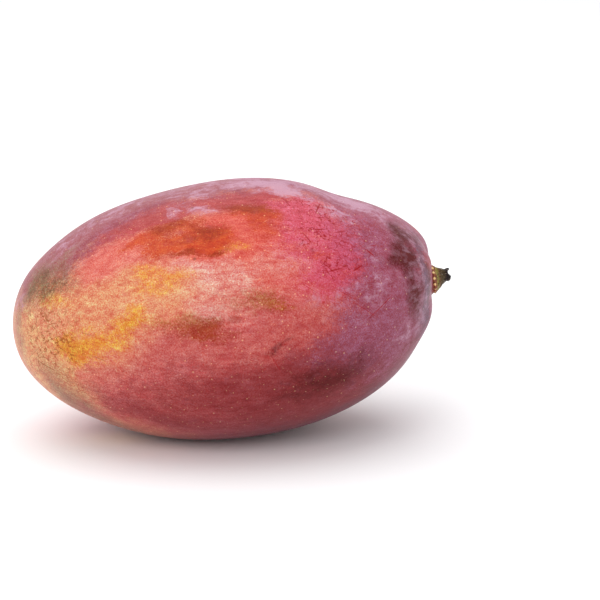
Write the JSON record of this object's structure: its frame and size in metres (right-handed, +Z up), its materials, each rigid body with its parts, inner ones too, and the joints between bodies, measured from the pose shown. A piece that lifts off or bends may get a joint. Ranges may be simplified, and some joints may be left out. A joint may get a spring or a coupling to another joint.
{
  "type": "mango",
  "caption": "Whole ripe mango of the long red kind, lying on a small flat spot on its side, with the short snapped-off stub of its stalk on a warty collar.",
  "frame": {"origin": "under the middle of the part's box, on the surface that it lies on", "axes": "+X along the fruit from its apex to its stalk, +Z up, away from the surface that it lies on, +Y to the back, the side with the beak"},
  "size_m": [0.1466, 0.0904, 0.0856],
  "materials": {
    "skin": "waxy satin skin, mottled from ochre to crimson and plum, with fine pale dots",
    "stalk": "dry, ribbed and rough, nearly black where it broke off"
  },
  "bodies": {
    "root": {"fruit": "skin", "stalk": "stalk"}
  },
  "joints": []
}
